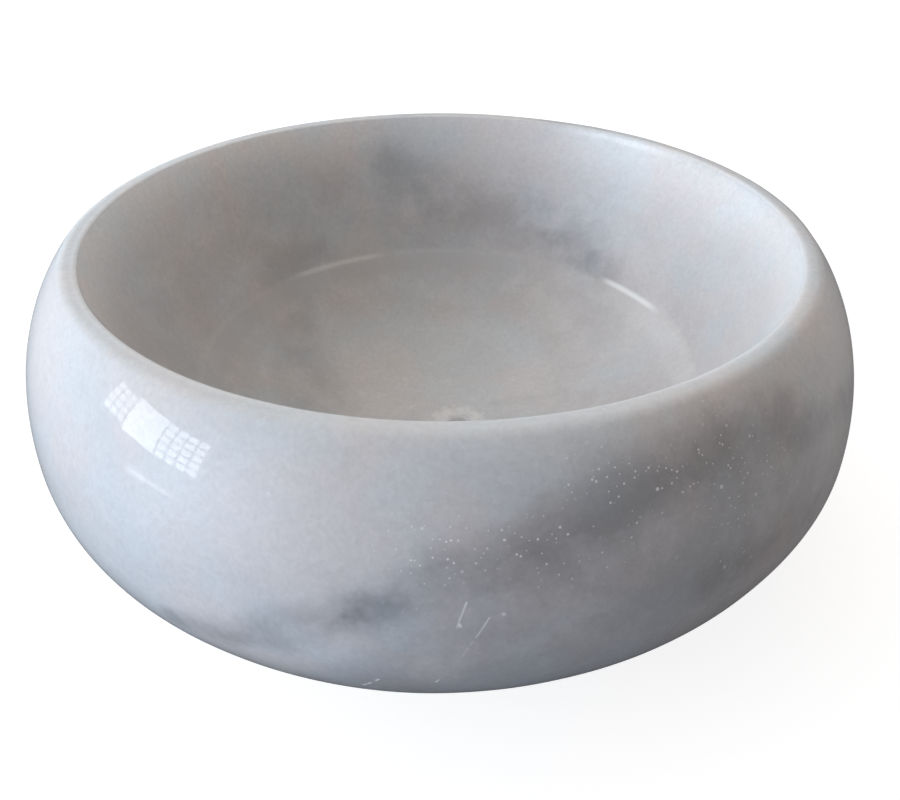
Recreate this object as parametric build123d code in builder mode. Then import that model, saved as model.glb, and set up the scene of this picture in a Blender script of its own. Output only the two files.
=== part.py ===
from build123d import *
import os
from math import cos, radians, sin

# A marble shaving bowl: one turned block of stone with an incurved rim, a funnel-shaped wall inside,
# a dished floor with a ring mark at its middle, and four small silicone bumpers under its flat base.
# +Z is up. The origin is the centre of the footprint, on the surface that the bumpers stand on.

# Bumpers, in millimetres
pad_radius = 5.0
pad_height = 1.2
pad_edge_radius = 0.4
pad_circle_radius = 34.0
pad_count = 4

# Outside of the stone. Heights named here are above the stone's flat base.
girth_radius = 65.0
girth_height = 25.8
stone_height = 50.2
base_radius = 44.0
base_slope = 21.0          # of the outer surface where it leaves the flat base, in degrees
base_handle = 9.4          # how far the outer curve follows that slope
girth_handle_down = 10.9   # how far it stays upright below the girth
girth_handle_up = 13.6     # how far it stays upright above the girth
lip_radius = 56.3          # where the outer curve reaches the crest of the rim
lip_slope = 44.0           # of the outer surface as it reaches the crest, in degrees
lip_handle = 4.4
lip_edge_radius = 1.9
base_edge_radius = 1.5

# Cavity. Its floor is ground slightly off the outside's centre, towards +X.
mouth_radius = 54.2        # of the wall at the level of the crest, before the edge is rounded
floor_shift = 1.0
crease_radius = 41.5       # the circle where the steep wall meets the dished floor
crease_height = 26.2
crease_fillet = 4.0
wall_bow = 0.85            # under 1 the wall bows outwards between the crease and the mouth
wall_sections = 5
floor_height = 11.7        # of the middle of the floor
floor_handle = 25.0        # how far the floor stays nearly level around its middle
crease_slope = 30.0        # of the floor where it reaches the crease, in degrees
crease_handle = 11.0

# Ring mark in the floor, a little off its middle, and the blind dimple inside it
ring_shift = 3.0           # of the mark's centre, towards +X
ring_radius = 4.7
ring_depth = 0.3
dimple_radius = 1.75
dimple_depth = 1.4
dimple_edge_radius = 0.4

level_tolerance = 0.05     # for picking out the edges that lie on one level

base_level = pad_height
crest_level = base_level + stone_height


def outward(radius, level, slope, length):
    """The end of a curve handle that leaves (radius, level) outwards, rising at a slope."""
    return radius + length * cos(radians(slope)), level + length * sin(radians(slope))


def wall_radius(share):
    """The cavity wall's radius at a share of the way up from the crease to the mouth."""
    return crease_radius + (mouth_radius - crease_radius) * share**wall_bow


def on_level(builder, level):
    """The builder's edges whose centre lies on a level."""
    return builder.edges().filter_by(lambda edge: abs(edge.center().Z - level) < level_tolerance)


os.makedirs("parts", exist_ok=True)

# Bowl: the outside is revolved, then the wall, the floor and the ring mark are taken out of it.
girth_level = base_level + girth_height
floor_axis = Axis((floor_shift, 0, 0), (0, 0, 1))
floor_plane = Plane(origin=(floor_shift, 0, 0), x_dir=(1, 0, 0), z_dir=(0, -1, 0))
crease_level = base_level + crease_height
floor_level = base_level + floor_height
ring_level = floor_level - ring_depth

with BuildPart() as bowl:
    with BuildSketch(Plane.XZ):
        with BuildLine():
            Line((0, base_level), (base_radius, base_level))
            Bezier(
                (base_radius, base_level),
                outward(base_radius, base_level, base_slope, base_handle),
                (girth_radius, girth_level - girth_handle_down),
                (girth_radius, girth_level),
            )
            Bezier(
                (girth_radius, girth_level),
                (girth_radius, girth_level + girth_handle_up),
                outward(lip_radius, crest_level, -lip_slope, lip_handle),
                (lip_radius, crest_level),
            )
            Line((lip_radius, crest_level), (0, crest_level))
            Line((0, crest_level), (0, base_level))
        make_face()
    revolve(axis=Axis.Z)
    fillet(bowl.edges().group_by(Axis.Z)[0], radius=base_edge_radius)

    # The wall runs from a circle at the shifted crease to a centred circle at the mouth.
    for section in range(wall_sections):
        share = section / (wall_sections - 1)
        with BuildSketch(Plane.XY.offset(crease_level + share * (crest_level - crease_level))):
            with Locations((floor_shift * (1 - share), 0)):
                Circle(wall_radius(share))
    loft(mode=Mode.SUBTRACT)
    fillet(bowl.edges().group_by(Axis.Z)[-1], radius=lip_edge_radius)

    with BuildSketch(floor_plane):
        with BuildLine():
            Line((0, crease_level), (0, floor_level))
            Bezier(
                (0, floor_level),
                (floor_handle, floor_level),
                outward(crease_radius, crease_level, crease_slope, -crease_handle),
                (crease_radius, crease_level),
            )
            Line((crease_radius, crease_level), (0, crease_level))
        make_face()
    revolve(axis=floor_axis, mode=Mode.SUBTRACT)
    fillet(on_level(bowl, crease_level), radius=crease_fillet)

    with BuildSketch(Plane.XY.offset(ring_level)):
        with Locations((ring_shift, 0)):
            Circle(ring_radius)
    extrude(amount=floor_level, mode=Mode.SUBTRACT)
    with BuildSketch(Plane.XY.offset(ring_level - dimple_depth)):
        with Locations((ring_shift, 0)):
            Circle(dimple_radius)
    extrude(amount=floor_level, mode=Mode.SUBTRACT)
    fillet(on_level(bowl, ring_level - dimple_depth), radius=dimple_edge_radius)

bowl.part.label = "bowl"
export_step(bowl.part, "parts/bowl.step")

# Bumpers: flat discs stuck under the base, each with a rounded edge where it meets the washstand.
for number, spot in enumerate(PolarLocations(pad_circle_radius, pad_count, start_angle=45), start=1):
    with BuildPart() as pad:
        with BuildSketch(Plane(spot)):
            Circle(pad_radius)
        extrude(amount=pad_height)
        fillet(pad.edges().group_by(Axis.Z)[0], radius=pad_edge_radius)
    pad.part.label = f"foot_pad_{number}"
    export_step(pad.part, f"parts/foot_pad_{number}.step")
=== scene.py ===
import random
from math import cos, hypot, pi, radians, sin, tan

import bpy
from mathutils import Matrix, Vector, noise


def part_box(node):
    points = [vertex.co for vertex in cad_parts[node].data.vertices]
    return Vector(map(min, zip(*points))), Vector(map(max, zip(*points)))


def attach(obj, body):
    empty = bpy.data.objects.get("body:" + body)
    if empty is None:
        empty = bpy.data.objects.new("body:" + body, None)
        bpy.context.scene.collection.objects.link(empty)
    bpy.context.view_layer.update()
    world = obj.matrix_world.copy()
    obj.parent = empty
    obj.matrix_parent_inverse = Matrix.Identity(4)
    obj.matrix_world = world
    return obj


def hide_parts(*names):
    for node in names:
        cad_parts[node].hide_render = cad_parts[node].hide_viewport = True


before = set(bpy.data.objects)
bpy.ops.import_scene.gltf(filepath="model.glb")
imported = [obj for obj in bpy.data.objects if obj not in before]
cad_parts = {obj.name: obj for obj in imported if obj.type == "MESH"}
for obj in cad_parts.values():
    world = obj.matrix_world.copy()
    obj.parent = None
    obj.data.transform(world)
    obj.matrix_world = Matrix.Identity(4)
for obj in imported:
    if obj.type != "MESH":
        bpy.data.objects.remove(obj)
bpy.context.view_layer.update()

# A marble shaving bowl on four silicone bumpers. Lengths are in millimetres of the design, and MM turns
# them into metres. Levels are heights above the stone's flat base, which is at BASE_LEVEL.

stone_low, stone_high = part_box("bowl")

STONE_HEIGHT = 50.2
MM = (stone_high.z - stone_low.z) / STONE_HEIGHT
BASE_LEVEL = stone_low.z

# Outside of the stone
BASE_RADIUS = 44.0
GIRTH_RADIUS = 65.0
GIRTH_LEVEL = 25.8
LIP_RADIUS = 56.3
LIP_EDGE_RADIUS = 1.9
MOUTH_EDGE_RADIUS = 1.3
BASE_EDGE_RADIUS = 1.0
LEAN = 0.55           # how far the side below the girth leans towards -X

# Cavity
MOUTH_RADIUS = 54.2
CREASE_RADIUS = 41.5
CREASE_LEVEL = 26.2
CREASE_EDGE_RADIUS = 2.4
FLOOR_SHIFT = 1.0
FLOOR_LEVEL = 11.7
WALL_BOW = 0.85
MOUTH_TURN = 1.8      # the wall steepens over this last bit of its height
MOUTH_PINCH = 0.22    # and its radius ends this much short
BAND_WIDTH = 3.7      # of the band that the grinding wheel left inside the crease
BAND_DROP = 0.5

# Ring mark and its dimple
RING_SHIFT = 3.0
RING_RADIUS = 4.7
RING_LEVEL = 11.4
DIMPLE_DEPTH = 1.4

SEGMENTS = 340        # of the bowl's mesh, round its axis
BUMPER_SEGMENTS = 64


# ---------------------------------------------------------------- section of the bowl

def bezier(start, handle_a, handle_b, end, count):
    """count steps along a cubic curve, as points with both ends included."""
    points = []
    for step in range(count + 1):
        t = step / count
        points.append(
            Vector(start) * (1 - t) ** 3
            + Vector(handle_a) * 3 * (1 - t) ** 2 * t
            + Vector(handle_b) * 3 * (1 - t) * t**2
            + Vector(end) * t**3
        )
    return points


def handle(point, slope, length):
    """The end of a curve handle that leaves a point outwards, rising at a slope in degrees."""
    return (point[0] + length * cos(radians(slope)), point[1] + length * sin(radians(slope)))


def straight(start, end, count):
    """count steps along a straight line, as points with both ends included."""
    return [Vector(start).lerp(Vector(end), step / count) for step in range(count + 1)]


def round_corner(before, after, radius, count):
    """Joins two runs of points that meet at a corner by an arc of a radius."""
    corner = before[-1]
    arriving = (corner - before[-2]).normalized()
    leaving = (after[1] - corner).normalized()
    turn = arriving.angle(leaving)
    reach = radius * tan(turn / 2)
    pull = radius * 4 / 3 * tan(turn / 4)
    start = corner - arriving * reach
    end = corner + leaving * reach
    arc = bezier(start, start + arriving * pull, end - leaving * pull, end, count)
    kept_before = [p for p in before if (p - corner).length > reach * 1.1]
    kept_after = [p for p in after if (p - corner).length > reach * 1.1]
    return kept_before + arc + kept_after


def wall_point(share):
    """A point of the cavity wall, from the crease (0) to the mouth (1)."""
    radius = CREASE_RADIUS + (MOUTH_RADIUS - CREASE_RADIUS) * share**WALL_BOW
    level = CREASE_LEVEL + (STONE_HEIGHT - CREASE_LEVEL) * share
    near_mouth = max(0.0, 1 - (STONE_HEIGHT - level) / MOUTH_TURN)
    return Vector((radius - MOUTH_PINCH * near_mouth**2, level))


def outside_curve():
    """The outside of the stone, from the base's edge up to the crest of the lip."""
    base_edge = (BASE_RADIUS, 0)
    girth = (GIRTH_RADIUS, GIRTH_LEVEL)
    lip = (LIP_RADIUS, STONE_HEIGHT)
    lower = bezier(base_edge, handle(base_edge, 21, 9.4), (GIRTH_RADIUS, GIRTH_LEVEL - 10.9), girth, 64)
    upper = bezier(girth, (GIRTH_RADIUS, GIRTH_LEVEL + 13.6), handle(lip, -44, 4.4), lip, 44)
    return lower + upper[1:]


def bowl_section():
    """From the underside's middle up the outside, over the lip, down the wall and in along the floor."""
    underside = straight((0, 0), (BASE_RADIUS - 4, 0), 14)
    underside += straight((BASE_RADIUS - 3.6, 0), (BASE_RADIUS, 0), 9)
    crest = straight((LIP_RADIUS, STONE_HEIGHT), (MOUTH_RADIUS, STONE_HEIGHT), 2)
    wall = [wall_point(1 - step / 160) for step in range(12)]
    wall += [wall_point(1 - step / 40) for step in range(3, 41)]
    floor = [Vector(p) for p in reversed(floor_curve)]
    section = round_corner(underside, outside_curve(), BASE_EDGE_RADIUS, 3)
    section = round_corner(section, crest, LIP_EDGE_RADIUS, 8)
    section = round_corner(section, wall, MOUTH_EDGE_RADIUS, 8)
    return round_corner(section, floor, CREASE_EDGE_RADIUS, 5)


crease_point = (CREASE_RADIUS, CREASE_LEVEL)
floor_curve = bezier(
    (0, FLOOR_LEVEL), (25, FLOOR_LEVEL), handle(crease_point, 30, -11), crease_point, 60
)


def floor_height(distance):
    """The level of the dished floor at a distance from its own axis."""
    for inner, outer in zip(floor_curve, floor_curve[1:]):
        if distance <= outer.x:
            share = (distance - inner.x) / (outer.x - inner.x)
            return inner.y + share * (outer.y - inner.y)
    return CREASE_LEVEL


# ---------------------------------------------------------------- stone surface

def smooth_step(low, high, value):
    """0 at low, passing smoothly to 1 at high, where low may be the larger."""
    share = min(max((value - low) / (high - low), 0.0), 1.0)
    return share * share * (3 - 2 * share)


def mark_section():
    """The ring mark: (distance from its centre, share of the way down to RING_LEVEL, rise)."""
    points = [(radius, 0, 0) for radius in (6.6, 6.0, 5.6, 5.3, 5.1, 4.95, 4.85)]
    points += [(4.76, 0.08, 0.01), (4.66, 0.3, 0), (4.52, 0.62, 0), (4.36, 0.9, 0), (4.22, 1, 0)]
    points += [(4.22 - 0.22 * step, 1, 0) for step in range(1, 10)]
    points += [(2.0, 1, -0.01), (1.9, 1, -0.05), (1.8, 1, -0.16), (1.75, 1, -0.4), (1.73, 1, -0.8)]
    points += [(1.68, 1, -1.15), (1.55, 1, -1.31), (1.35, 1, -1.4), (0.9, 1, -1.4), (0.4, 1, -1.4)]
    return points


def stone_rings():
    """(centre, radius, level, outward normal in the section, zone) for each ring of the bowl's skin.

    On the floor, the level is (share of the way down to RING_LEVEL, rise), because the floor is dished."""
    section = bowl_section()
    last_floor = RING_RADIUS + 3
    crease_index = min(range(len(section)), key=lambda i: (section[i] - Vector(crease_point)).length)
    rings = []
    for index, point in enumerate(section[1:-1], start=1):
        if index > crease_index and point.x < last_floor:
            break
        along = (section[index + 1] - section[index - 1]).normalized()
        normal = Vector((along.y, -along.x))
        if index > crease_index:
            near_ring = 1 - smooth_step(last_floor, CREASE_RADIUS, point.x)
            centre = FLOOR_SHIFT + (RING_SHIFT - FLOOR_SHIFT) * near_ring
            rise = point.y - floor_height(point.x)
            rings.append((centre, point.x, (0, rise), normal, "floor"))
        elif normal.x < 0 and point.x < MOUTH_RADIUS:
            share = min(max((point.y - CREASE_LEVEL) / (STONE_HEIGHT - CREASE_LEVEL), 0.0), 1.0)
            rings.append((FLOOR_SHIFT * (1 - share), point.x, point.y, normal, "wall"))
        elif point.y < 0.001:
            rings.append((0.0, point.x, point.y, normal, "underside"))
        else:
            rings.append((0.0, point.x, point.y, normal, "outside"))
    for radius, share, rise in mark_section():
        rings.append((RING_SHIFT, radius, (share, rise), Vector((0, 1)), "mark"))
    return rings


def wave(point, length, seed):
    """Smooth noise from -1 to 1 whose bumps are about a length across."""
    return noise.noise(point / length + Vector((seed, seed * 1.7, seed * 0.3)))


def base_chips():
    """(azimuth, level, width, depth) of the small chips knocked out of the base's edge."""
    dice = random.Random(11)
    chips = []
    for count in range(17):
        azimuth = dice.uniform(0, 2 * pi)
        width = dice.uniform(0.9, 2.6)
        chips.append((azimuth, dice.uniform(-0.2, 0.5), width, width * dice.uniform(0.14, 0.24)))
    return chips


CHIPS = base_chips()


def chip_depth(azimuth, radius, level):
    """How deep the chips cut at a place on the base's edge."""
    depth = 0.0
    for chip_azimuth, chip_level, width, chip_cut in CHIPS:
        across = (azimuth - chip_azimuth + pi) % (2 * pi) - pi
        reach = hypot(across * radius, hypot(level - chip_level, radius - BASE_RADIUS) * 1.3)
        if reach < width:
            depth = max(depth, chip_cut * (1 - (reach / width) ** 2) ** 0.6)
    return depth


def handwork(point, azimuth, radius, level, zone):
    """How far the surface stands proud of the turned shape, from grinding and polishing by hand."""
    if zone == "mark":
        rough = 0.05 * wave(point, 0.9, 5) + 0.03 * wave(point, 0.35, 6)
        return rough * smooth_step(6.2, 4.9, radius)
    slow = 0.13 * wave(point, 24, 1) + 0.03 * wave(point, 8, 2)
    if zone == "underside":
        return 0.02 * wave(point, 5, 3)
    if zone == "outside":
        near_base = smooth_step(8, 1.5, level)
        slow *= smooth_step(0, 3, level)
        scoop = chip_depth(azimuth, radius, level) if level < 3.5 else 0.0
        return slow + near_base * 0.04 * wave(point, 2.2, 4) - scoop
    return slow


def floor_band(place, distance):
    """The steeper band, BAND_WIDTH wide, that a grinding wheel leaves just inside the crease."""
    inside = CREASE_RADIUS - distance + 0.45 * wave(place, 11, 7)
    if inside < BAND_WIDTH:
        return -BAND_DROP * max(inside, 0.0) / BAND_WIDTH
    return -BAND_DROP * (1 - smooth_step(BAND_WIDTH, BAND_WIDTH + 16, inside))


def stone_point(centre, radius, level, normal, zone, azimuth):
    """The point of the finished surface on a ring of stone_rings() at an azimuth."""
    outward = Vector((cos(azimuth), sin(azimuth), 0))
    if zone == "outside":
        centre -= LEAN * smooth_step(GIRTH_LEVEL, 10, level)
    place = Vector((centre, 0, 0)) + outward * radius
    if zone in ("floor", "mark"):
        from_axis = hypot(place.x - FLOOR_SHIFT, place.y)
        share, rise = level
        floor = floor_height(from_axis) + floor_band(place, from_axis)
        level = floor * (1 - share) + RING_LEVEL * share + rise
    place.z = level
    proud = handwork(place, azimuth, radius, level, zone)
    return place + (outward * normal.x + Vector((0, 0, normal.y))) * proud


def to_metres(point):
    return (point.x * MM, point.y * MM, BASE_LEVEL + point.z * MM)


def lathe_mesh(name, rings, first_pole, last_pole, segments, place):
    """A closed mesh of rings of points between two poles. place gives a ring's point at an azimuth."""
    points = [first_pole]
    for ring in rings:
        points += [place(ring, 2 * pi * step / segments) for step in range(segments)]
    points.append(last_pole)
    faces = []
    for step in range(segments):
        faces.append((0, 1 + (step + 1) % segments, 1 + step))
    for row in range(len(rings) - 1):
        low = 1 + row * segments
        for step in range(segments):
            right = (step + 1) % segments
            faces.append((low + step, low + right, low + segments + right, low + segments + step))
    top = 1 + (len(rings) - 1) * segments
    for step in range(segments):
        faces.append((top + step, top + (step + 1) % segments, len(points) - 1))
    mesh = bpy.data.meshes.new(name)
    mesh.from_pydata(points, [], faces)
    mesh.validate()
    mesh.polygons.foreach_set("use_smooth", [True] * len(mesh.polygons))
    mesh.update()
    piece = bpy.data.objects.new(name, mesh)
    bpy.context.scene.collection.objects.link(piece)
    return piece


def make_bowl():
    def place(ring, azimuth):
        return to_metres(stone_point(*ring, azimuth))

    middle = Vector((RING_SHIFT, 0, RING_LEVEL - DIMPLE_DEPTH))
    return lathe_mesh(
        "marble_bowl", stone_rings(), to_metres(Vector((0, 0, 0))), to_metres(middle), SEGMENTS, place
    )


# ---------------------------------------------------------------- bumpers

def make_bumper(node):
    """A domed silicone bumper in the place of a CAD pad: glue skin on top, soft bulge, rounded foot."""
    low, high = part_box(node)
    middle = (low + high) / 2
    radius = (high.x - low.x) / 2
    height = high.z - low.z
    section = [(0.3, 1.0), (0.6, 1.0), (0.9, 1.0), (0.95, 1.0), (0.955, 0.97), (0.958, 0.9), (0.965, 0.86)]
    section += [(0.985, 0.78), (0.997, 0.66), (1.0, 0.52), (0.996, 0.38), (0.985, 0.24), (0.965, 0.12)]
    section += [(0.94, 0.04), (0.91, 0.0), (0.8, 0.0), (0.72, 0.012), (0.5, 0.03), (0.25, 0.035)]

    def place(ring, azimuth):
        share, rise = ring
        return (
            middle.x + radius * share * cos(azimuth),
            middle.y + radius * share * sin(azimuth),
            low.z + height * rise,
        )

    section.reverse()
    first = (middle.x, middle.y, low.z + height * 0.035)
    last = (middle.x, middle.y, high.z)
    return lathe_mesh("bumper_" + node[-1], section, first, last, BUMPER_SEGMENTS, place)


# ---------------------------------------------------------------- shader nodes

class Shader:
    """The node tree of a material or a world, built by short calls. A value is a socket or a constant."""

    def __init__(self, owner):
        owner.use_nodes = True
        self.tree = owner.node_tree
        self.tree.nodes.clear()

    def node(self, kind, values=None, output=0, **settings):
        made = self.tree.nodes.new("ShaderNode" + kind)
        for name, value in settings.items():
            setattr(made, name, value)
        for name, value in (values or {}).items():
            if isinstance(value, bpy.types.NodeSocket):
                self.tree.links.new(value, made.inputs[name])
            else:
                made.inputs[name].default_value = value
        return made.outputs[output] if made.outputs else None

    def math(self, operation, *values):
        return self.node("Math", dict(enumerate(values)), operation=operation)

    def vector(self, operation, *values):
        """A vector, or the number that a dot product, length or distance gives."""
        output = 1 if operation in ("DOT_PRODUCT", "LENGTH", "DISTANCE") else 0
        return self.node("VectorMath", dict(enumerate(values)), output, operation=operation)

    def times(self, vector, factor):
        return self.node("VectorMath", {0: vector, "Scale": factor}, operation="SCALE")

    def noise(self, place, size, detail=2.0, roughness=0.5, output=0):
        """Noise from 0 to 1, mostly near 0.5, with bumps about a size across. Output 1 is a colour."""
        values = {"Vector": place, "Scale": 1 / size, "Detail": detail, "Roughness": roughness}
        return self.node("TexNoise", values, output)

    def fade(self, value, start, end, low=0.0, high=1.0):
        """low at start, passing smoothly to high at end, where start may be the larger."""
        values = {"Value": value, "From Min": start, "From Max": end, "To Min": low, "To Max": high}
        return self.node("MapRange", values, interpolation_type="SMOOTHSTEP")

    def mix(self, share, first, second, mode="MIX"):
        """A mix of two colours."""
        return self.node("Mix", {0: share, 6: first, 7: second}, 2, data_type="RGBA", blend_type=mode)

    def product(self, first, *others):
        """The values multiplied together."""
        for other in others:
            first = self.math("MULTIPLY", first, other)
        return first

    def largest(self, first, *others):
        for other in others:
            first = self.math("MAXIMUM", first, other)
        return first

    def wobble(self, place, size, detail, roughness, reach):
        """A vector that changes smoothly from place to place, for pushing a pattern about."""
        colour = self.noise(place, size, detail, roughness, 1)
        return self.times(self.vector("SUBTRACT", colour, (0.5, 0.5, 0.5)), reach)

    def streak(self, place, start, end):
        """1 on the line between two points (x, y, level, radius), fading to 0 at the radius."""
        line = Vector(end[:3]) - Vector(start[:3])
        from_start = self.vector("SUBTRACT", place, start[:3])
        share = self.vector("DOT_PRODUCT", from_start, tuple(line / line.length_squared))
        share = self.node("Clamp", {"Value": share})
        gap = self.vector("SUBTRACT", from_start, self.times(tuple(line), share))
        radius = self.math("MULTIPLY_ADD", share, end[3] - start[3], start[3])
        return self.fade(self.math("DIVIDE", self.vector("LENGTH", gap), radius), 1.0, 0.1)

    def chain(self, place, points):
        """The greatest of the streaks between neighbouring points."""
        return self.largest(*[self.streak(place, a, b) for a, b in zip(points, points[1:])])

    def specks(self, place, pitch, radius, share):
        """Round specks, in a share of the cells of a pitch."""
        values = {"Vector": place, "Scale": 1 / pitch}
        distance = self.node("TexVoronoi", values)
        cell = self.node("TexVoronoi", values, 1)
        chosen = self.node("SeparateColor", {0: cell})
        size = self.node("SeparateColor", {0: cell}, 1)
        edge = self.math("MULTIPLY_ADD", size, 0.7 * radius / pitch, 0.5 * radius / pitch)
        dot = self.fade(self.math("DIVIDE", distance, edge), 1.0, 0.4)
        return self.product(dot, self.math("LESS_THAN", chosen, share))


def grey(value):
    """A neutral colour."""
    return (value, value, value, 1)


# ---------------------------------------------------------------- marble

WHITE = (0.74, 0.735, 0.735, 1)
PALE_GREY = (0.565, 0.56, 0.565, 1)
DEEP_GREY = (0.315, 0.313, 0.322, 1)
WARM = (1.0, 0.965, 0.95, 1)
COOL = (0.955, 0.985, 1.0, 1)
# White of ground stone, also used for the painted light at the lip and on the band's right.
GROUND_AND_PAINTED_LIGHT_WHITE = (0.90, 0.895, 0.89, 1)
# White of the painted glints and the crease's painted highlight, and of the pale specks and scratches.
HIGHLIGHT_AND_SCRATCH_WHITE = (0.96, 0.955, 0.94, 1)

# Where the grey shows on the outside: (azimuth in degrees, level, radius) along each streak.
OUTSIDE_VEIN = [(-121, 21, 2.5), (-113, 23.5, 4), (-104, 27.5, 5), (-96, 32.5, 5), (-90, 35.5, 6)]
OUTSIDE_VEIN += [(-81, 39.5, 7), (-72, 43, 7.5), (-60, 45, 7.5), (-48, 44, 6)]
OUTSIDE_CORE = [(-101, 28.5, 2.5), (-96, 32.5, 4.6), (-93.5, 34, 4)]
OUTSIDE_DEPTH = [(-88, 35.5, 4), (-78, 39.5, 6), (-67, 43.5, 6.5), (-57, 45.5, 5.5)]
OUTSIDE_END = [(-46, 42, 4), (-38, 40.5, 4), (-30, 38, 4), (-22, 36, 3)]
OUTSIDE_CLOUD = [(-101, 15, 8), (-92, 22, 13), (-79, 29, 18), (-64, 33, 20), (-48, 34, 20), (-32, 31, 17)]
OUTSIDE_SMOKE = [(-60, 29, 5), (-51, 30, 6), (-42, 29, 5)]

# And inside: (x, y, radius).
INSIDE_VEIN = [(-12, 49, 7), (0, 47, 8), (11, 45, 8.5), (20, 41, 8.5), (27, 35.5, 8), (32, 29, 6)]
INSIDE_CORE = [(21, 39.5, 4), (26, 36, 5.5), (30, 31.5, 5)]
INSIDE_LEFT = [(-25, 36, 3), (-29, 31, 5), (-34, 25, 5)]
FLOOR_LEFT = [(-28, 24, 10), (-27, 12, 13), (-24, 1, 13)]
FLOOR_RIGHT = [(22, 18, 9), (24, 3, 11)]
FLOOR_SPOT = [(10, 5, 3), (17, 5, 3)]

# Fine scratches and nicks on the front, each between two places of the outside.
SCRATCHES = [[(-84.8, 31.3, 0.2), (-87, 26.5, 0.28)], [(-87, 26.5, 0.28), (-90, 20, 0.22)]]
SCRATCHES += [[(-87, 33.5, 0.2), (-88, 30, 0.25)], [(-83.5, 31.8, 0.34), (-83.4, 31.6, 0.34)]]
SCRATCHES += [[(-87.7, 30.6, 0.34), (-87.6, 30.3, 0.34)], [(-96, 20, 0.3), (-98, 17, 0.35)]]

# Where the painted glints sparkle on the outside, and the two stretches of the crease that carry a painted
# highlight.
GLINT_PLACES = [(-92, 38, 9), (-72, 42, 13), (-58, 45, 14), (-54, 36, 14)]
CREASE_HIGHLIGHT_LEFT = [(-27, 32, 7), (-17, 38, 6)]
CREASE_HIGHLIGHT_RIGHT = [(33.5, 26.5, 4), (37.5, 19.5, 7)]


def outside_streak(points):
    """The points of a streak on the bowl's outside, as (x, y, level, radius)."""
    skin = outside_curve()
    placed = []
    for azimuth, level, radius in points:
        out = min(skin, key=lambda p: abs(p.y - level)).x
        placed.append((out * cos(radians(azimuth)), out * sin(radians(azimuth)), level, radius))
    return placed


def inside_streak(points):
    """The points of a streak on the bowl's wall or floor."""
    placed = []
    for x, y, radius in points:
        out = hypot(x - FLOOR_SHIFT / 2, y)
        rise = max(out - CREASE_RADIUS, 0) / (MOUTH_RADIUS - CREASE_RADIUS)
        level = CREASE_LEVEL + (STONE_HEIGHT - CREASE_LEVEL) * rise ** (1 / WALL_BOW)
        placed.append((x, y, floor_height(out) if out < CREASE_RADIUS else level, radius))
    return placed


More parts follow.
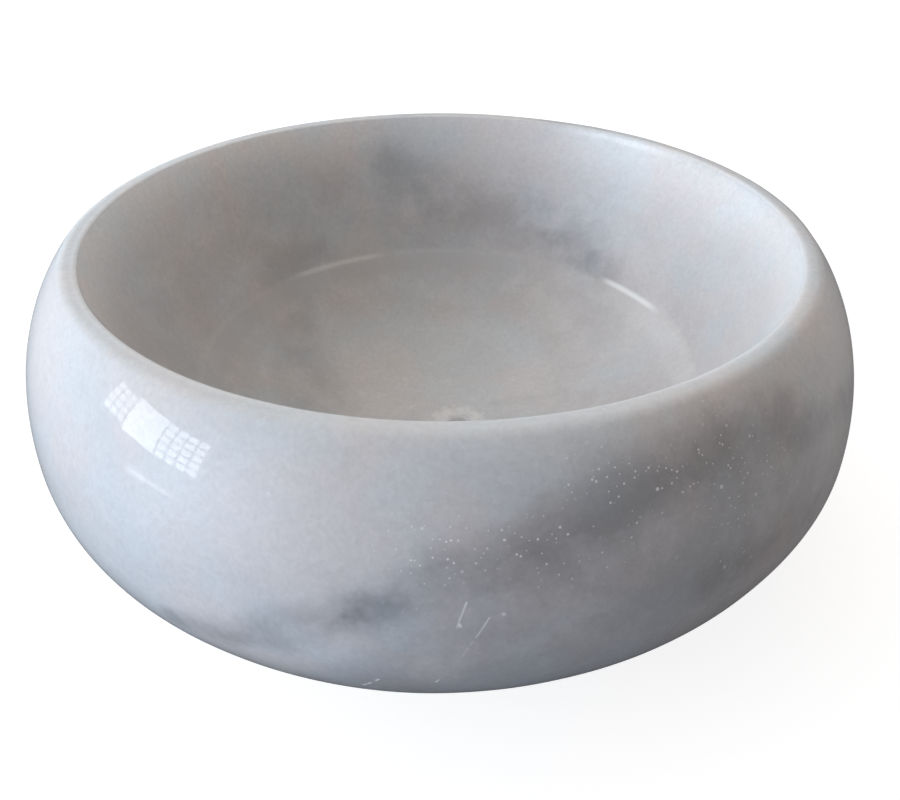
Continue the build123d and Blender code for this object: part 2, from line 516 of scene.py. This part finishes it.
class Marble(Shader):
    """Polished white marble with grey clouds and veins, rough where ground and where painted glints lie at
    the front right.

    The layers of colour are laid one on another, with painted shade, painted light and painted highlights
    among them.
    They keep where the stone is bare, ground or under painted glints, for roughness() and normal(), which
    come after them."""

    def __init__(self, material):
        super().__init__(material)
        metres = self.node("TexCoord", output="Object")
        self.place = self.vector("MULTIPLY_ADD", metres, (1 / MM,) * 3, (0, 0, -BASE_LEVEL / MM))
        self.x, self.y, self.level = [self.node("SeparateXYZ", {0: self.place}, axis) for axis in range(3)]
        self.above_base = self.fade(self.level, 6, 7)
        self.from_axis = self.distance_from(0)
        within_mouth = self.fade(self.from_axis, MOUTH_RADIUS + 1, MOUTH_RADIUS)
        self.cavity = self.product(within_mouth, self.above_base)
        self.skin = self.fade(self.from_axis, MOUTH_RADIUS, MOUTH_RADIUS + 1)
        self.base = self.fade(self.level, 1.1, 0.3)

        # The stone is folded, so its pattern is pushed about before it is read.
        self.bent = self.vector("ADD", self.place, self.wobble(self.place, 7, 3, 0.6, 4.5))
        self.folded = self.vector("ADD", self.bent, self.wobble(self.place, 26, 2, 0.5, 13))
        self.breaks = self.noise(self.bent, 9, 4, 0.6)

    def distance_from(self, x):
        """How far a place is from the upright line through (x, 0)."""
        offset = self.vector("SUBTRACT", self.place, (x, 0, 0))
        return self.vector("LENGTH", self.vector("MULTIPLY", offset, (1, 1, 0)))

    def outside(self, points):
        return self.chain(self.bent, outside_streak(points))

    def inside(self, points):
        return self.chain(self.bent, inside_streak(points))

    def back_vein(self):
        """Soft folded sheets of grey behind the stretch of the outside that has its own list of veins."""
        behind = self.product(self.skin, self.fade(self.y, -22, 8))
        sheet = self.noise(self.vector("MULTIPLY", self.folded, (0.7, 0.7, 1.6)), 34, 3, 0.5)
        sheet = self.math("ABSOLUTE", self.math("SUBTRACT", sheet, 0.5))
        gate = self.fade(self.noise(self.place, 45, 1), 0.42, 0.62)
        return self.product(self.fade(sheet, 0.15, 0.0), gate, behind)

    def veined(self):
        """White stone with pale clouds and deeper veins, and painted shade greying the cavity's wall and
        outer floor.
        """
        tilted = self.vector("MULTIPLY", self.folded, (0.8, 1.0, 1.5))
        clouds = self.fade(self.noise(tilted, 30, 5, 0.58), 0.42, 0.72)
        wisps = self.fade(self.noise(tilted, 11, 5, 0.62), 0.44, 0.74)
        # Painted shade: greys the cavity's wall and outer floor, least near the lip and on the right.
        painted_cavity_shade = self.product(
            self.cavity,
            self.fade(self.from_axis, 18, 38),
            self.fade(self.level, 50, 34),
            self.fade(self.x, 48, 26, 0.35, 1.0),
        )
        deep = [
            (self.outside(OUTSIDE_VEIN), 0.55),
            (self.outside(OUTSIDE_CORE), 0.95),
            (self.outside(OUTSIDE_DEPTH), 0.66),
            (self.outside(OUTSIDE_END), 0.55),
            (self.outside(OUTSIDE_SMOKE), 0.35),
            (self.inside(INSIDE_VEIN), 0.36),
            (self.inside(INSIDE_CORE), 0.62),
            (self.inside(INSIDE_LEFT), 0.22),
            (self.back_vein(), 0.55),
        ]
        pale = [
            (self.outside(OUTSIDE_CLOUD), 1.0),
            (painted_cavity_shade, 0.72),
            (self.inside(FLOOR_LEFT), 1.0),
            (self.inside(FLOOR_RIGHT), 0.65),
            (self.inside(FLOOR_SPOT), 0.5),
            (clouds, 0.38),
            (wisps, 0.22),
        ]
        patchy = self.fade(self.breaks, 0.3, 0.62, 0.45, 1.0)
        pale_share = self.largest(*[self.product(share, weight) for share, weight in pale])
        deep_share = self.largest(*[self.product(share, weight) for share, weight in deep])
        colour = self.mix(self.product(pale_share, patchy), WHITE, PALE_GREY)
        return self.mix(self.product(deep_share, patchy), colour, DEEP_GREY)

    def painted_lip_glow(self, colour):
        """Painted light: the cavity's wall is whitened near the lip, standing in for light let through
        where the stone thins, but hardly where the back's grey crosses it.
        """
        sides = self.largest(self.fade(self.x, -8, -24), self.fade(self.x, 18, 34))
        # Painted light through the thin lip, strongest on the left and the right.
        clear = self.product(
            self.cavity,
            self.fade(self.level, 40, 49.5),
            self.fade(self.breaks, 0.2, 0.6, 0.6, 1.0),
            self.fade(sides, 0.0, 1.0, 0.1, 1.0),
        )
        return self.mix(self.product(clear, 0.6), colour, GROUND_AND_PAINTED_LIGHT_WHITE)

    def tinted(self, colour):
        """Warm and cool tints, and the calcite's grain."""
        tint = self.mix(self.fade(self.noise(self.folded, 16, 3, 0.5), 0.38, 0.62), WARM, COOL)
        colour = self.mix(1.0, colour, tint, "MULTIPLY")
        grain = self.node("TexVoronoi", {"Vector": self.place, "Scale": 1 / 0.9}, 1)
        grain = self.node("SeparateColor", {0: grain}, 0)
        self.fine = self.noise(self.place, 0.6, 2, 0.6)
        grain = self.math("MULTIPLY_ADD", grain, 0.05, self.fade(self.fine, 0.2, 0.8, 0.93, 1.01))
        return self.mix(1.0, colour, grain, "MULTIPLY")

    def shaded_band_and_crease_highlight(self, colour):
        """The grinding wheel's band just inside the crease, greyed by painted shade at the back and paled
        by painted light at the right, with a painted highlight on the crease.
        """
        from_floor = self.distance_from(FLOOR_SHIFT)
        ragged = self.math("MULTIPLY_ADD", self.noise(self.place, 4, 3, 0.6), 2.4, from_floor)
        middle = CREASE_RADIUS - BAND_WIDTH + 1.2
        band = self.product(
            self.fade(ragged, middle - 0.5, middle + 0.5),
            self.fade(from_floor, CREASE_RADIUS - 0.2, CREASE_RADIUS - 1.0),
            self.above_base,
        )
        # Painted shade greys the band at the back, and painted light pales it at the right, which faces the
        # light.
        colour = self.mix(self.product(band, self.fade(self.x, 26, 8), 0.5), colour, PALE_GREY)
        colour = self.mix(self.product(band, self.fade(self.x, 22, 33), 0.14), colour, GROUND_AND_PAINTED_LIGHT_WHITE)

        # Painted highlight: the crease is painted pale on two stretches, where it catches a glint, and a
        # little elsewhere.
        highlight_stretches = self.largest(
            self.product(self.chain(self.place, inside_streak(CREASE_HIGHLIGHT_LEFT)), 0.4),
            self.chain(self.place, inside_streak(CREASE_HIGHLIGHT_RIGHT)),
            self.product(self.fade(self.breaks, 0.45, 0.6), 0.06),
        )
        inner_edge = self.fade(from_floor, CREASE_RADIUS - 0.9, CREASE_RADIUS - 0.25)
        outer_edge = self.fade(from_floor, CREASE_RADIUS + 0.5, CREASE_RADIUS - 0.1)
        # The crease's painted highlight, kept for the subsurface below.
        self.crease = self.product(inner_edge, outer_edge, self.above_base, highlight_stretches)
        return self.mix(self.crease, colour, HIGHLIGHT_AND_SCRATCH_WHITE)

    def ground_off(self, colour):
        """Ground stone is whiter and rough: the ring mark, the base and the bruises above it."""
        from_ring = self.distance_from(RING_SHIFT)
        uneven = self.math("MULTIPLY_ADD", self.noise(self.place, 1.6, 3, 0.6), 1.6, from_ring)
        rim = self.fade(uneven, RING_RADIUS + 1.3, RING_RADIUS + 0.6)
        dimple = self.fade(uneven, 2.9, 3.6, 0.5, 1.0)
        bruise = self.fade(self.noise(self.place, 2.6, 3, 0.6), 0.60, 0.70)
        self.lumps = self.fade(self.noise(self.place, 1.3, 3, 0.6), 0.35, 0.65)
        self.ground = self.largest(
            self.product(rim, dimple, self.above_base, self.fade(self.lumps, 0, 1, 0.6, 1.0)),
            self.product(self.fade(self.level, 20, 8), bruise, 0.4),
            self.product(self.base, 0.3),
        )
        return self.mix(self.ground, colour, GROUND_AND_PAINTED_LIGHT_WHITE)

    def with_glints_and_scratches(self, colour):
        """Painted glints, as small and larger white specks where the crystals sparkle at the front right;
        sparse pale specks all over the outside; and scratches.
        """
        # Painted glints: white specks where the crystals sparkle at the front right.
        glinting = self.chain(self.place, outside_streak(GLINT_PLACES))
        glinting = self.product(glinting, self.fade(self.noise(self.place, 9, 2), 0.34, 0.56))
        scratches = [self.streak(self.place, *outside_streak(ends)) for ends in SCRATCHES]
        worn = self.fade(self.noise(self.place, 1.6, 2), 0.3, 0.55)
        self.glints_specks_scratches = self.largest(
            self.product(self.specks(self.place, 0.75, 0.18, 0.9), glinting),
            self.product(self.specks(self.place, 2.4, 0.36, 0.5), glinting),
            self.product(self.specks(self.place, 3.6, 0.28, 0.12), self.skin, 0.6),
            self.product(self.largest(*scratches), worn),
        )
        return self.mix(self.product(self.glints_specks_scratches, 0.9), colour, HIGHLIGHT_AND_SCRATCH_WHITE)

    def roughness(self):
        """A hand polish outside, duller inside, none where the stone is ground or where the painted glints,
        pale specks and scratches lie.
        """
        polish = self.fade(self.noise(self.place, 6, 4, 0.65), 0.3, 0.7, 0.025, 0.05)
        return self.largest(
            self.math("MULTIPLY_ADD", self.cavity, 0.12, polish),
            self.product(self.ground, 0.7),
            self.product(self.base, 0.45),
            self.product(self.glints_specks_scratches, 0.6),
        )

    def normal(self):
        """Orange peel left by the polish, the lumps of ground stone and the height of the painted glints,
        pale specks and scratches.
        """
        swell = self.noise(self.place, 3.0, 2)
        peel = self.math("MULTIPLY_ADD", swell, 0.12, self.product(self.fine, 0.02))
        relief = self.math("MULTIPLY_ADD", self.product(self.lumps, self.ground), 0.9, peel)
        relief = self.math("MULTIPLY_ADD", self.glints_specks_scratches, 0.6, relief)
        return self.node("Bump", {"Strength": 0.25, "Distance": 0.12 * MM, "Height": relief})


def make_marble():
    material = bpy.data.materials.new("marble")
    stone = Marble(material)
    colour = stone.veined()
    for layer in (stone.painted_lip_glow, stone.tinted, stone.shaded_band_and_crease_highlight, stone.ground_off, stone.with_glints_and_scratches):
        colour = layer(colour)

    # Light sinks into the stone, but not into the painted glints, the pale specks, the scratches and the
    # painted highlight on the crease.
    on_top = stone.largest(stone.glints_specks_scratches, stone.crease)
    surface = stone.node(
        "BsdfPrincipled",
        {
            "Base Color": colour,
            "Roughness": stone.roughness(),
            "IOR": 1.5,
            "Normal": stone.normal(),
            "Subsurface Weight": stone.fade(on_top, 0.0, 0.6, 0.45, 0.0),
            "Subsurface Radius": (1.0, 0.9, 0.82),
            "Subsurface Scale": 7 * MM,
        },
    )
    stone.node("OutputMaterial", {"Surface": surface})
    return material


# ---------------------------------------------------------------- silicone

def make_silicone():
    """Clear silicone that has yellowed a little and picked up dirt in patches."""
    material = bpy.data.materials.new("silicone")
    shader = Shader(material)
    metres = shader.node("TexCoord", output="Object")
    place = shader.times(metres, 1 / MM)
    milk = shader.fade(shader.noise(place, 3, 3, 0.6), 0.35, 0.65)
    colour = shader.mix(milk, (0.80, 0.80, 0.76, 1), (0.66, 0.65, 0.60, 1))
    dirt = shader.fade(shader.noise(place, 0.7, 4, 0.7), 0.58, 0.72)
    colour = shader.mix(shader.product(dirt, 0.5), colour, (0.30, 0.28, 0.25, 1))
    roughness = shader.fade(shader.noise(place, 1.1, 3, 0.6), 0.3, 0.7, 0.28, 0.5)
    roughness = shader.largest(roughness, shader.product(dirt, 0.8))
    height = shader.noise(place, 0.5, 3, 0.6)
    normal = shader.node("Bump", {"Strength": 0.2, "Distance": 0.05 * MM, "Height": height})
    surface = shader.node(
        "BsdfPrincipled",
        {
            "Base Color": colour,
            "Roughness": roughness,
            "IOR": 1.41,
            "Normal": normal,
            "Subsurface Weight": 0.5,
            "Subsurface Radius": (1.0, 0.95, 0.85),
            "Subsurface Scale": 1.2 * MM,
        },
    )
    shader.node("OutputMaterial", {"Surface": surface})
    return material


# ---------------------------------------------------------------- floor, light and camera

# In metres, but for the glow
FLOOR_SIZE = 6.0
WINDOW_DISTANCE = 1.2
WINDOW_GLOW = 7.0

# Soft light by where it comes from, added together: (azimuth, elevation, tightness, colour).
GLOWS = [
    (-149, 2, 7.0, (2.34, 2.66, 3.22)),
    (140, 27, 3.0, (1.33, 1.45, 1.58)),
    (16, 1, 4.0, (0.60, 0.58, 0.60)),
    (0, 88, 2.7, (0.36, 0.27, 0.17)),
]


def direction(azimuth, elevation):
    """The way to look for an azimuth and an elevation in degrees."""
    flat = cos(radians(elevation))
    return Vector((flat * cos(radians(azimuth)), flat * sin(radians(azimuth)), sin(radians(elevation))))


def make_world():
    """Soft light that changes slowly with direction, in front of a plain pale backdrop."""
    world = bpy.data.worlds.new("studio")
    bpy.context.scene.world = world
    shader = Shader(world)
    way = shader.node("TexCoord")
    light = (0.0, 0.0, 0.0, 1)
    for azimuth, elevation, tightness, colour in GLOWS:
        facing = shader.vector("DOT_PRODUCT", way, tuple(direction(azimuth, elevation)))
        glow = shader.math("EXPONENT", shader.math("MULTIPLY_ADD", facing, tightness, -tightness))
        light = shader.mix(1.0, light, shader.times(colour, glow), "ADD")
    lamp = shader.node("Background", {"Color": light})
    backdrop = shader.node("Background", {"Color": grey(1.0)})
    seen = shader.node("LightPath")
    both = shader.node("MixShader", {0: seen, 1: lamp, 2: backdrop})
    shader.node("OutputWorld", {"Surface": both})


def make_floor():
    """A pale floor that takes the bowl's soft shadow but throws no light back at it."""
    half = FLOOR_SIZE / 2
    mesh = bpy.data.meshes.new("floor")
    corners = [(-half, -half, 0), (half, -half, 0), (half, half, 0), (-half, half, 0)]
    mesh.from_pydata(corners, [], [(0, 1, 2, 3)])
    floor = bpy.data.objects.new("floor", mesh)
    bpy.context.scene.collection.objects.link(floor)
    material = bpy.data.materials.new("floor")
    shader = Shader(material)
    surface = shader.node(
        "BsdfPrincipled",
        {
            "Base Color": grey(0.45),
            "Roughness": 0.9,
            "Specular IOR Level": 0.0,
            "Emission Color": grey(1.0),
            "Emission Strength": 0.80,
        },
    )
    shader.node("OutputMaterial", {"Surface": surface})
    mesh.materials.append(material)
    floor.visible_diffuse = False
    floor.visible_glossy = False
    floor.visible_transmission = False
    floor.visible_shadow = False


def make_pane(azimuth, elevation, width, height, glow):
    """One soft light panel, facing the bowl, as bright as glow whatever its size."""
    data = bpy.data.lights.new("pane", "AREA")
    data.shape = "RECTANGLE"
    data.size = width
    data.size_y = height
    data.energy = glow * pi * width * height
    data.color = (0.86, 0.96, 1.0)
    lamp = bpy.data.objects.new("pane", data)
    toward = direction(azimuth, elevation)
    lamp.location = toward * WINDOW_DISTANCE
    lamp.rotation_mode = "QUATERNION"
    lamp.rotation_quaternion = toward.to_track_quat("Z", "Y")
    bpy.context.scene.collection.objects.link(lamp)


def make_window():
    """A bank of light panels on the left, divided like a window, and a thin strip below it."""
    for column in range(3):
        for row in range(4):
            make_pane(-178.8 + 2.5 * column, 8.7 + 3.2 * row, 0.042, 0.056, 0.45 * WINDOW_GLOW)
    make_pane(-166.8, 13.5, 0.222, 0.335, 0.62 * WINDOW_GLOW)
    for column in range(4):
        for row in range(5):
            make_pane(-159.4 + 3.4 * column, 7.1 + 3.2 * row, 0.056, 0.053, 0.64 * WINDOW_GLOW)
    make_pane(-165.5, -5.2, 0.12, 0.09, 0.13 * WINDOW_GLOW)
    make_pane(-160.0, -5.5, 0.26, 0.035, 0.24 * WINDOW_GLOW)


CAMERA_TARGET = Vector((1.46, 0, 16.2))
CAMERA_DISTANCE = 159.5
CAMERA_ELEVATION = 34.1
CAMERA_ROLL = 0.31


def make_camera():
    """Looks along +Y and down into the bowl, through a lens as wide as its sensor."""
    data = bpy.data.cameras.new("camera")
    data.sensor_width = 36
    data.lens = 36
    data.clip_start = 0.01
    camera = bpy.data.objects.new("camera", data)
    elevation = radians(CAMERA_ELEVATION)
    back = Vector((0, -cos(elevation), sin(elevation)))
    camera.location = to_metres(CAMERA_TARGET + back * CAMERA_DISTANCE)
    roll = Matrix.Rotation(radians(CAMERA_ROLL), 4, "Z").to_quaternion()
    camera.rotation_mode = "QUATERNION"
    camera.rotation_quaternion = (-back).to_track_quat("-Z", "Y") @ roll
    bpy.context.scene.collection.objects.link(camera)
    bpy.context.scene.camera = camera


# ---------------------------------------------------------------- scene

marble = make_marble()
silicone = make_silicone()

bowl = make_bowl()
bowl.data.materials.append(marble)
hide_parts("bowl")
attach(bowl, "root")
for number in range(1, 5):
    bumper = make_bumper(f"foot_pad_{number}")
    bumper.data.materials.append(silicone)
    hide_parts(f"foot_pad_{number}")
    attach(bumper, "root")

make_floor()
make_world()
make_window()
make_camera()
bpy.context.scene.view_settings.view_transform = "Standard"
